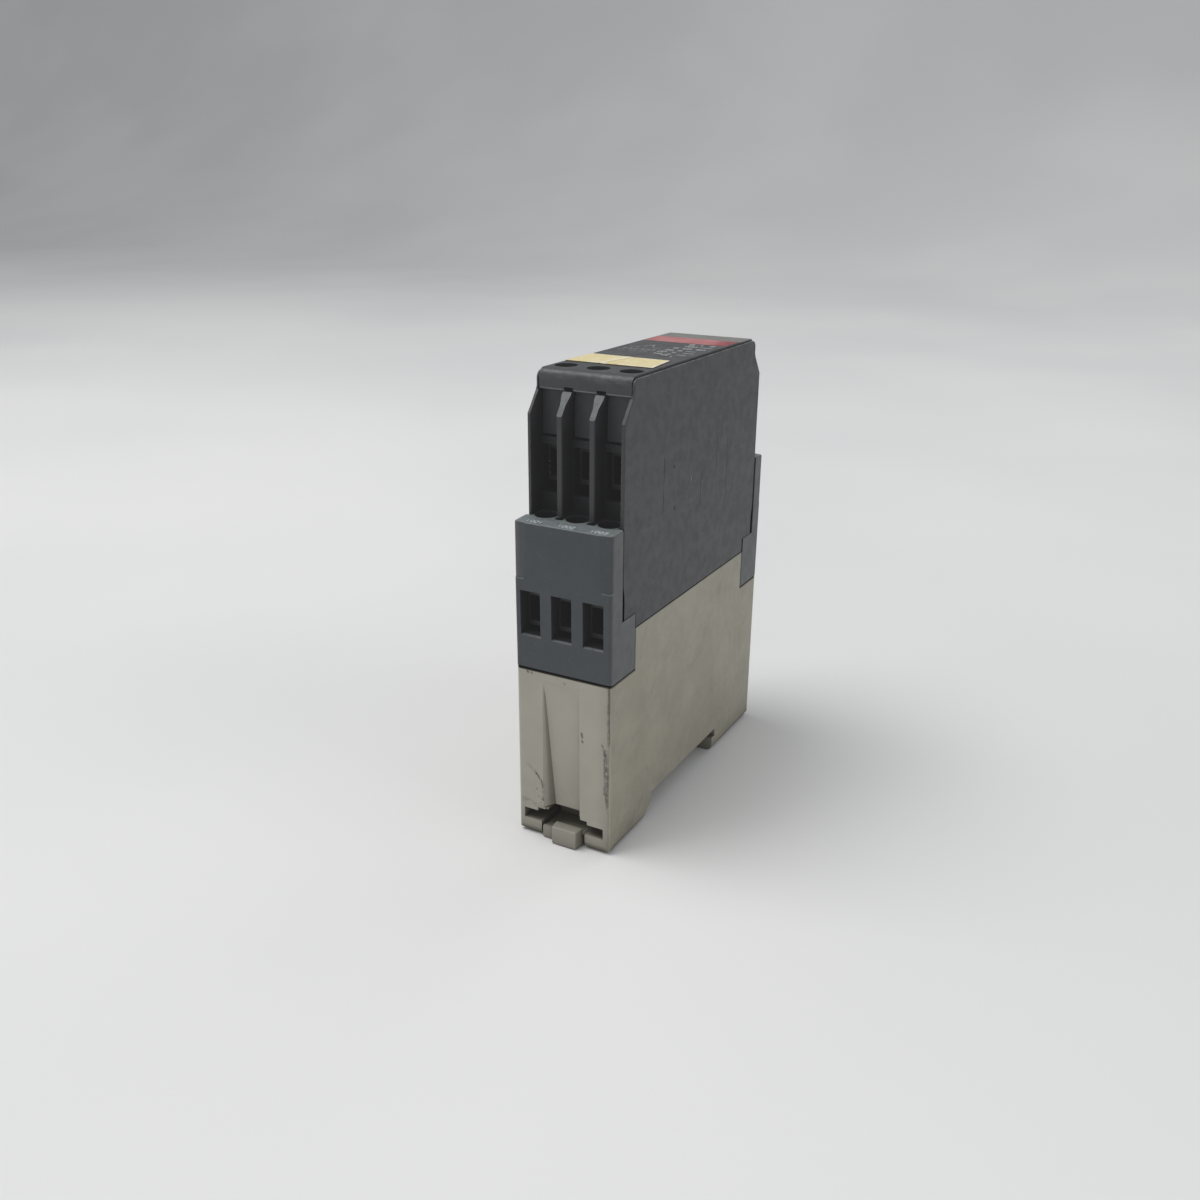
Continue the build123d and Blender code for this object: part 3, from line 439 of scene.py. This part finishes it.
# strength of the painted glow that lifts the dark plastics
PAINTED_GLOW = 0.013
beige = moulded("beige_case", lin(172, 168, 155), rough=0.52, grain=0.22, edge=0.16, edge_col=lin(200, 197, 186)[:3], dust_and_crease_shade=0.45, blotch=0.05, extra=base_marks, recess_shade=0.74, recess_shade_col=lin(74, 66, 53)[:3], painted_glow=0.007)
latch_m = moulded("latch_beige", lin(154, 151, 139), rough=0.48, grain=0.18, edge=0.35, edge_col=lin(196, 192, 182)[:3], dust_and_crease_shade=0.40, blotch=0.05, recess_shade=0.55, recess_shade_col=lin(78, 70, 57)[:3], painted_glow=0.006)
dark = moulded("dark_case", lin(56, 57, 59), rough=0.52, spec=0.44, grain=0.30, edge=0.42, edge_col=lin(150, 151, 150)[:3], dust_and_crease_shade=0.40, blotch=0.03, extra=side_marks, recess_shade=0.62, painted_glow=PAINTED_GLOW)
block_m = moulded("terminal_grey", lin(62, 67, 71), rough=0.52, spec=0.45, grain=0.32, edge=0.34, edge_col=lin(140, 148, 150)[:3], dust_and_crease_shade=0.40, blotch=0.06, extra=block_marks, recess_shade=0.80, painted_glow=PAINTED_GLOW)
cap_m = moulded("front_grey", lin(59, 60, 62), rough=0.46, grain=0.16, edge=0.38, edge_col=lin(140, 142, 143)[:3], dust_and_crease_shade=0.30, blotch=0.05, extra=cap_marks, recess_shade=0.35, painted_glow=PAINTED_GLOW)


def metal(name, col, rough=0.35, scale=900):
    m = Mat(name)
    a = m.noise(scale, 4, 0.65)
    c = m.mix(m.ramp(a, 0.35, 0.7), tuple(x * 0.72 for x in col[:3]), col[:3])
    # darker in crevices: painted shade, with dirt
    c = m.mix(m.math("MULTIPLY", m.hollows(0.8), 0.5), c, tuple(x * 0.3 for x in col[:3]))
    # painted glints: small bright specks
    c = m.mix(m.math("MULTIPLY", m.ramp(m.noise(1150, 2, 0.5), 0.715, 0.75), 0.6), c, lin(214, 214, 210))
    m.put(m.b.inputs["Base Color"], c)
    m.b.inputs["Metallic"].default_value = 1.0
    m.put(m.b.inputs["Roughness"], m.ramp(m.noise(scale * 2, 3, 0.6), 0.3, 0.8, rough - 0.1, rough + 0.15))
    m.put(m.b.inputs["Normal"], m.bump(m.noise(scale * 3, 2, 0.5), 0.15, 0.02))
    # painted light: the metal glows faintly to lift its darks
    m.b.inputs["Emission Color"].default_value = (0.97, 0.97, 1.0, 1.0)
    m.b.inputs["Emission Strength"].default_value = 0.013
    return m.m


def coated(name, col, rough=0.35, spec=0.5, speck=None, scale=1200, bump=0.15):
    m = Mat(name)
    a = m.noise(scale, 3, 0.6)
    c = m.mix(m.ramp(a, 0.3, 0.75), tuple(x * 0.85 for x in col[:3]), tuple(min(1, x * 1.12) for x in col[:3]))
    if speck:
        c = m.mix(m.ramp(m.voronoi(scale * 1.5), 0.0, 0.28, 0.8, 0.0), c, speck)
    m.put(m.b.inputs["Base Color"], c)
    m.put(m.b.inputs["Roughness"], m.ramp(m.noise(scale * 0.6, 3, 0.6), 0.3, 0.8, rough - 0.08, rough + 0.1))
    m.put(m.b.inputs["Normal"], m.bump(m.noise(scale * 2.2, 2, 0.5), bump, 0.02))
    m.b.inputs["Specular IOR Level"].default_value = spec
    return m.m


zinc = metal("zinc_steel", lin(150, 148, 142), 0.40)
cage_m = metal("cage_steel", lin(74, 74, 75), 0.50)
tin = metal("tinned_bar", lin(66, 66, 65), 0.50)
wire_m = metal("spring_wire", lin(150, 150, 150), 0.28)
board_m = coated("board_green", lin(26, 88, 52), 0.32, speck=lin(60, 120, 80)[:3])
relay_m = coated("relay_shell", lin(206, 204, 196), 0.42)
film_m = coated("capacitor_box", lin(44, 74, 140), 0.30)
can_m = coated("can_sleeve", lin(32, 34, 40), 0.25)
var_m = coated("varistor_coat", lin(36, 70, 128), 0.28)
res_m = coated("resistor_coat", lin(120, 140, 128), 0.5)
chip_m = coated("chip_body", lin(30, 30, 31), 0.42)
cer_m = coated("ceramic_body", lin(170, 146, 112), 0.4)
lamp_m = coated("lamp_resin", lin(214, 150, 40), 0.2)

pipe = Mat("light_pipe_clear")
pipe.b.inputs["Transmission Weight"].default_value = 0.85
pipe.b.inputs["IOR"].default_value = 1.49
pipe.put(pipe.b.inputs["Base Color"], pipe.mix(pipe.noise(900), lin(205, 206, 198), lin(226, 226, 220)))
pipe.put(pipe.b.inputs["Roughness"], pipe.ramp(pipe.noise(1500), 0.3, 0.8, 0.10, 0.25))

GIVE = {
    "base_housing": beige, "rail_latch": latch_m, "upper_housing": dark, "front_cap": cap_m,
    "near_terminal_block": block_m, "far_terminal_block": block_m, "latch_spring": wire_m,
    "main_board": board_m, "output_relay_1": relay_m, "output_relay_2": relay_m,
    "dropping_capacitor_1": film_m, "dropping_capacitor_2": film_m, "dropping_capacitor_3": film_m,
    "smoothing_capacitor": can_m, "timing_capacitor": can_m, "varistors": var_m, "power_resistors": res_m,
    "control_chip": chip_m, "opto_couplers": chip_m, "rectifier_diodes": chip_m, "trim_diodes": chip_m,
    "ceramic_parts": cer_m, "status_lamp": lamp_m, "light_pipe": pipe.m,
    "near_lower_contacts": tin, "near_upper_contacts": tin, "far_lower_contacts": tin,
}
for n, o in N.items():
    if n in GIVE:
        give(o, GIVE[n])
    elif "_screw_" in n:
        give(o, zinc)
    elif "_cage_" in n:
        give(o, cage_m)


def coil_spring():
    """The latch spring as its own coil: a copy of the spring part, attached to the housing in its place."""
    o = bpy.data.objects.new("latch_spring_coil", N["latch_spring"].data.copy())
    scene.collection.objects.link(o)
    give(o, wire_m)
    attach(o, "housing")
    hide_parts("latch_spring")
    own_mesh(o)


coil_spring()


# ------------------------------------------------------------------ mesh helpers
def piece(name, bm, mat, body="housing"):
    me = bpy.data.meshes.new(name)
    bmesh.ops.recalc_face_normals(bm, faces=bm.faces)
    bm.to_mesh(me)
    bm.free()
    o = bpy.data.objects.new(name, me)
    scene.collection.objects.link(o)
    me.materials.append(mat)
    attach(o, body)
    return o


def plate(bm, outline, z0, z1, cut=0.0):
    """A thin plate over a convex outline (mm, mouldings' frame), its top edge cut back a little."""
    cx0 = sum(p[0] for p in outline) / len(outline)
    cy0 = sum(p[1] for p in outline) / len(outline)
    lowr = [bm.verts.new(P(px, py, z0)) for px, py in outline]
    top = []
    for px, py in outline:
        d = math.hypot(px - cx0, py - cy0) or 1.0
        k = 1 - cut / d
        top.append(bm.verts.new(P(cx0 + (px - cx0) * k, cy0 + (py - cy0) * k, z1)))
    n = len(outline)
    bm.faces.new(top)
    bm.faces.new(list(reversed(lowr)))
    for i in range(n):
        bm.faces.new((lowr[i], lowr[(i + 1) % n], top[(i + 1) % n], top[i]))


def stroke(bm, a, b, w, z0, z1):
    """A printed line from a to b, w mm wide."""
    dx, dy = b[0] - a[0], b[1] - a[1]
    ln = math.hypot(dx, dy)
    nx, ny = -dy / ln * w / 2, dx / ln * w / 2
    plate(bm, [(a[0] - nx, a[1] - ny), (b[0] - nx, b[1] - ny), (b[0] + nx, b[1] + ny), (a[0] + nx, a[1] + ny)], z0, z1)


# plain figures, each a few straight strokes in a cell 0.6 wide and 1 high
FIGURES = {
    "0": (((0, 0), (0.6, 0)), ((0.6, 0), (0.6, 1)), ((0.6, 1), (0, 1)), ((0, 1), (0, 0))),
    "1": (((0.3, 0), (0.3, 1)), ((0.3, 1), (0.1, 0.8))),
    "2": (((0, 1), (0.6, 1)), ((0.6, 1), (0.6, 0.5)), ((0.6, 0.5), (0, 0.5)), ((0, 0.5), (0, 0)), ((0, 0), (0.6, 0))),
    "3": (((0, 1), (0.6, 1)), ((0.6, 1), (0.6, 0)), ((0.1, 0.5), (0.6, 0.5)), ((0, 0), (0.6, 0))),
    "4": (((0, 1), (0, 0.45)), ((0, 0.45), (0.6, 0.45)), ((0.6, 1), (0.6, 0))),
    "5": (((0.6, 1), (0, 1)), ((0, 1), (0, 0.5)), ((0, 0.5), (0.6, 0.5)), ((0.6, 0.5), (0.6, 0)), ((0.6, 0), (0, 0))),
    "6": (((0.6, 1), (0, 1)), ((0, 1), (0, 0)), ((0, 0), (0.6, 0)), ((0.6, 0), (0.6, 0.5)), ((0.6, 0.5), (0, 0.5))),
    "7": (((0, 1), (0.6, 1)), ((0.6, 1), (0.25, 0))),
    "8": (((0, 0), (0.6, 0)), ((0.6, 0), (0.6, 1)), ((0.6, 1), (0, 1)), ((0, 1), (0, 0)), ((0, 0.5), (0.6, 0.5))),
    "9": (((0, 0), (0.6, 0)), ((0.6, 0), (0.6, 1)), ((0.6, 1), (0, 1)), ((0, 1), (0, 0.5)), ((0, 0.5), (0.6, 0.5))),
}


def figures(bm, text, x, y, h, w, z0, z1, up=1, gap=0.32):
    """Plain figures along +X from (x, y), h mm high; up=-1 turns them to be read from the far end."""
    for ch in text:
        if ch in FIGURES:
            for (ax, ay), (bx_, by_) in FIGURES[ch]:
                stroke(bm, (x + up * ax * h, y + up * ay * h), (x + up * bx_ * h, y + up * by_ * h), w, z0, z1)
        x += up * (0.6 + gap) * h


# ------------------------------------------------------------------ marking film on the front
def film_material():
    m = Mat("marker_film_yellow")
    x, y, z = m.xyz()
    wob = m.noise(500, 3, 0.6)
    c = m.mix(m.ramp(wob, 0.3, 0.7), lin(231, 213, 152), lin(244, 230, 180))
    pale = m.segment((-2.2, -19.9, 100.25), (-0.6, -11.2, 100.25), 0.15, 0.60)
    c = m.mix(m.math("MULTIPLY", pale, 0.90), c, lin(252, 248, 226))
    fold = m.segment((-1.5, -19.9, 100.2), (0.1, -11.2, 100.2), 0.1, 0.55)
    c = m.mix(m.math("MULTIPLY", fold, 0.35), c, lin(176, 146, 74))
    # painted highlights: pale lines along the film's edges
    for a, b, w in (((-4.8, -20.1, 100.2), (-1.2, -20.0, 100.2), 0.7), ((3.2, -11.2, 100.2), (4.2, -10.9, 100.2), 0.5), ((9.3, -20.0, 100.2), (8.6, -10.8, 100.2), 0.55), ((2.0, -20.1, 100.2), (9.2, -20.0, 100.2), 0.30), ((-9.8, -10.4, 100.2), (8.4, -10.8, 100.2), 0.22)):
        c = m.mix(m.math("MULTIPLY", m.segment(a, b, 0.1, w), m.ramp(m.noise(1400, 3), 0.35, 0.55)), c, lin(246, 243, 232))
    # painted highlight on the film's rounded edges
    c = m.mix(m.math("MULTIPLY", m.edges(0.16), 0.45), c, lin(244, 230, 184))
    c = m.mix(m.math("MULTIPLY", m.ramp(m.noise(1900, 3, 0.6), 0.62, 0.70), 0.45), c, lin(122, 98, 52))
    n = m.node("ShaderNodeNewGeometry")
    sx = m.node("ShaderNodeSeparateXYZ")
    m.put(sx.inputs[0], n.outputs["Normal"])
    rim = m.ramp(sx.outputs[2], 0.15, 0.6, 1.0, 0.0)
    c = m.mix(rim, c, lin(104, 82, 36))
    m.put(m.b.inputs["Base Color"], c)
    m.put(m.b.inputs["Roughness"], m.ramp(m.noise(700, 3), 0.3, 0.8, 0.28, 0.42))
    m.put(m.b.inputs["Normal"], m.bump(m.math("ADD", m.noise(260, 3, 0.5), m.math("MULTIPLY", m.noise(1500, 3), 0.3)), 0.25, 0.08))
    m.b.inputs["Specular IOR Level"].default_value = 0.6
    return m.m


def film():
    """The film as it lies: slightly buckled, with one sharp crease across it."""
    A, B, C, D = (-9.95, -20.4), (9.65, -20.3), (8.75, -10.5), (-9.65, -9.95)
    nu, nv = 120, 60
    bm = bmesh.new()
    rnd = random.Random(7)
    waves = [(rnd.uniform(0.5, 2.6), rnd.uniform(-1.6, 1.6), rnd.uniform(0, 6.28), rnd.uniform(0.5, 1.0)) for _ in range(7)]
    top, bot = [], []
    for j in range(nv + 1):
        tr, br = [], []
        for i in range(nu + 1):
            u, v = i / nu, j / nv
            x0 = (A[0] * (1 - u) + B[0] * u) * (1 - v) + (D[0] * (1 - u) + C[0] * u) * v
            y0 = (A[1] * (1 - u) + B[1] * u) * (1 - v) + (D[1] * (1 - u) + C[1] * u) * v
            w = sum(k * math.sin(fx * x0 + fy * y0 + ph) for fx, fy, ph, k in waves) / 5.0
            crease_x = -2.1 + (y0 + 19.9) * (1.5 / 8.7)
            crease = math.exp(-((x0 - crease_x) / 0.32) ** 2)
            dip = math.exp(-((x0 - crease_x - 0.9) / 0.6) ** 2)
            rim = min(u, 1 - u, v * 0.5, (1 - v) * 0.5) * nu / 3.0
            h = 0.215 + 0.022 * w + 0.055 * crease - 0.050 * dip
            h = min(h, 0.275)
            if rim < 1:
                h = h * (0.72 + 0.28 * max(rim, 0) ** 0.5)
            tr.append(bm.verts.new(P(x0, y0, 100 + h)))
            br.append(bm.verts.new(P(x0, y0, 100.0)))
        top.append(tr)
        bot.append(br)
    for j in range(nv):
        for i in range(nu):
            bm.faces.new((top[j][i], top[j][i + 1], top[j + 1][i + 1], top[j + 1][i]))
            bm.faces.new((bot[j][i], bot[j + 1][i], bot[j + 1][i + 1], bot[j][i + 1]))
    ring_t = [top[0][i] for i in range(nu + 1)] + [top[j][nu] for j in range(1, nv + 1)] + [top[nv][i] for i in range(nu - 1, -1, -1)] + [top[j][0] for j in range(nv - 1, 0, -1)]
    ring_b = [bot[0][i] for i in range(nu + 1)] + [bot[j][nu] for j in range(1, nv + 1)] + [bot[nv][i] for i in range(nu - 1, -1, -1)] + [bot[j][0] for j in range(nv - 1, 0, -1)]
    n = len(ring_t)
    for i in range(n):
        bm.faces.new((ring_b[i], ring_b[(i + 1) % n], ring_t[(i + 1) % n], ring_t[i]))
    o = piece("marker_film_sheet", bm, film_material())
    for p in o.data.polygons:
        p.use_smooth = p.normal.z > 0.5
    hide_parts("marker_label")
    return o


film()


# ------------------------------------------------------------------ print on the front
def ink(name, col, wear=0.4, rough=0.42, worn=None, scale=900):
    m = Mat(name)
    c = m.mix(m.ramp(m.noise(scale, 3, 0.6), 0.3, 0.75), tuple(v * 0.86 for v in col[:3]), tuple(min(1, v * 1.1) for v in col[:3]))
    c = m.mix(m.math("MULTIPLY", m.ramp(m.noise(scale * 2.2, 4, 0.65), 0.52, 0.66), wear), c, worn or lin(84, 84, 86))
    m.put(m.b.inputs["Base Color"], c)
    m.put(m.b.inputs["Roughness"], m.ramp(m.noise(scale * 0.7, 3), 0.3, 0.8, rough - 0.05, rough + 0.1))
    m.put(m.b.inputs["Normal"], m.bump(m.noise(2600, 2, 0.5), 0.10, 0.02))
    return m


def stripe_ink():
    m = ink("ink_red", lin(138, 56, 60), 0.35, 0.50, worn=lin(160, 104, 106))
    x, y, z = m.xyz()
    base = m.b.inputs["Base Color"].links[0].from_socket
    # painted reflection: the red is paled over most of the stripe, fading out towards its right end
    painted_sheen = m.math("MULTIPLY", m.ramp(x, 3.5 * MM, 9.6 * MM, 1.0, 0.05), m.ramp(m.noise(260, 3, 0.6), 0.25, 0.7, 0.6, 1.0))
    m.put(m.b.inputs["Base Color"], m.mix(m.math("MULTIPLY", painted_sheen, 0.90), base, lin(192, 126, 128)))
    return m.m


white_ink = ink("ink_pale", lin(196, 198, 198), 0.40).m
grey_ink = ink("ink_grey", lin(158, 160, 161), 0.40).m
INK_Z = 100.0

bm = bmesh.new()
plate(bm, [(-9.75, 14.6), (10.15, 14.6), (10.15, 22.3), (-9.75, 22.3)], INK_Z, INK_Z + 0.02, 0.01)
piece("print_stripe", bm, stripe_ink())

bm = bmesh.new()
w = 0.24
# lamp mark and its legend figures
figures(bm, "1", 5.9, -5.3, 1.0, w, INK_Z, INK_Z + 0.02)
for k, (yy, x0, txt) in enumerate(((-2.6, 0.2, "10 2"), (0.2, 0.0, "20 4"), (3.0, 0.3, "30 6"), (6.2, 1.0, "0 50 60"), (9.4, 2.0, "400"))):
    figures(bm, txt, x0 + 0.6, yy, 1.15, w, INK_Z, INK_Z + 0.02)
for yy, x0, x1 in ((-2.1, 6.2, 8.4), (0.7, 6.4, 9.0), (3.5, 5.9, 8.0), (9.9, 6.0, 9.2)):
    stroke(bm, (x0, yy), (x1, yy), 0.3, INK_Z, INK_Z + 0.02)
piece("print_figures_right", bm, white_ink)

bm = bmesh.new()
# simple line sketch at the left: a base line with ticks and one peak
stroke(bm, (-8.4, 1.2), (-0.6, 1.2), 0.22, INK_Z, INK_Z + 0.02)
for i in range(6):
    xx = -8.0 + i * 1.4
    stroke(bm, (xx, 1.2), (xx, 2.6), 0.22, INK_Z, INK_Z + 0.02)
stroke(bm, (-5.2, 5.4), (-4.1, 8.6), 0.24, INK_Z, INK_Z + 0.02)
stroke(bm, (-4.1, 8.6), (-3.0, 5.4), 0.24, INK_Z, INK_Z + 0.02)
stroke(bm, (-7.9, 4.4), (-5.6, 4.4), 0.22, INK_Z, INK_Z + 0.02)
stroke(bm, (-2.6, 4.4), (-0.7, 4.4), 0.22, INK_Z, INK_Z + 0.02)
figures(bm, "11 12 14", -8.3, -1.2, 0.95, 0.18, INK_Z, INK_Z + 0.02)
piece("print_sketch_left", bm, grey_ink)

# a row of plain figures beside the stripe's near edge
bm = bmesh.new()
figures(bm, "0 1 2", 2.6, 12.1, 1.35, 0.30, INK_Z, INK_Z + 0.02)
piece("print_figures_far", bm, white_ink)


# ------------------------------------------------------------------ raised figures on the blocks' ledges
def ledge(name, sign, texts):
    m = ink(name + "_ink", lin(196, 203, 204), 0.16, 0.5, worn=lin(132, 140, 142)).m
    bm = bmesh.new()
    for x0, t in zip((-7.3, 0.0, 7.3), texts):
        ln = (len(t) * 0.92 - 0.32) * 1.05
        x0 += 0.4
        if sign < 0:
            figures(bm, t, x0 - ln / 2, -38.55, 1.05, 0.24, 70.86, 71.10)
        else:
            figures(bm, t, x0 + ln / 2, 38.55, 1.05, 0.24, 70.86, 71.10, up=-1)
    piece(name, bm, m)


ledge("figures_near_block", -1, ("1001", "1002", "1003"))
ledge("figures_far_block", 1, ("2001", "2002", "2003"))


# ------------------------------------------------------------------ stage, light, camera
def floor():
    bm = bmesh.new()
    prof = [(-1.2, 0.0)] + [(1.1 + 0.9 * math.sin(t), 0.9 - 0.9 * math.cos(t)) for t in [i * math.pi / 2 / 14 for i in range(15)]] + [(2.0, 2.4)]
    rows = []
    for y, z in prof:
        rows.append([bm.verts.new((x, y, z)) for x in (-3.0, 3.0)])
    for a, b in zip(rows, rows[1:]):
        bm.faces.new((a[0], a[1], b[1], b[0]))
    me = bpy.data.meshes.new("floor")
    bm.to_mesh(me)
    bm.free()
    for p in me.polygons:
        p.use_smooth = True
    o = bpy.data.objects.new("floor", me)
    scene.collection.objects.link(o)
    m = Mat("floor_pale")
    m.put(m.b.inputs["Base Color"], m.mix(m.ramp(m.noise(3.0, 2, 0.5), 0.3, 0.7), lin(228, 228, 228), lin(236, 236, 235)))
    m.put(m.b.inputs["Roughness"], m.ramp(m.noise(60, 2), 0.3, 0.7, 0.70, 0.85))
    m.b.inputs["Specular IOR Level"].default_value = 0.25
    give(o, m.m)


floor()


def area(name, loc, target, size, power, col=(1, 1, 1), size_y=None):
    d = bpy.data.lights.new(name, "AREA")
    d.shape = "RECTANGLE"
    d.size = size
    d.size_y = size_y or size
    d.energy = power
    d.color = col
    o = bpy.data.objects.new(name, d)
    scene.collection.objects.link(o)
    o.location = loc
    o.rotation_euler = (Vector(target) - Vector(loc)).to_track_quat("-Z", "Y").to_euler()
    return o


area("key_soft", (-0.46, -0.26, 1.24), (0, 0, 0.05), 0.80, 10.0, (1.0, 0.995, 0.985))
area("right_soft", (1.25, 0.10, 0.75), (0, 0, 0.05), 0.9, 2.2)
area("back_soft", (0.25, 1.1, 0.95), (0, 0, 0.05), 0.9, 2.0)
world = bpy.data.worlds.new("studio")
scene.world = world
world.use_nodes = True
bg = world.node_tree.nodes["Background"]
bg.inputs["Color"].default_value = (0.95, 0.97, 1.0, 1.0)
bg.inputs["Strength"].default_value = 0.38

AZ, EL, ROLL, DIST, TX, TZ, F = 28.62, 20.74, 0.43, 261.81, -11.24, -6.33, 1143.14
a, e = math.radians(AZ), math.radians(EL)
back = Vector((math.sin(a) * math.cos(e), -math.cos(a) * math.cos(e), math.sin(e)))
right = (-back).cross(Vector((0, 0, 1))).normalized()
up = right.cross(-back)
cr, sr = math.cos(math.radians(ROLL)), math.sin(math.radians(ROLL))
r2, u2 = cr * right + sr * up, -sr * right + cr * up
pos = P(0, 0, 50) + (back * DIST + r2 * TX + u2 * TZ) * MM
cam_d = bpy.data.cameras.new("camera")
cam = bpy.data.objects.new("camera", cam_d)
scene.collection.objects.link(cam)
cam.matrix_world = Matrix(((r2.x, u2.x, back.x, pos.x), (r2.y, u2.y, back.y, pos.y), (r2.z, u2.z, back.z, pos.z), (0, 0, 0, 1)))
cam_d.sensor_width = 36.0
cam_d.lens = F * 36.0 / 1200.0
cam_d.clip_start, cam_d.clip_end = 0.01, 20.0
scene.camera = cam
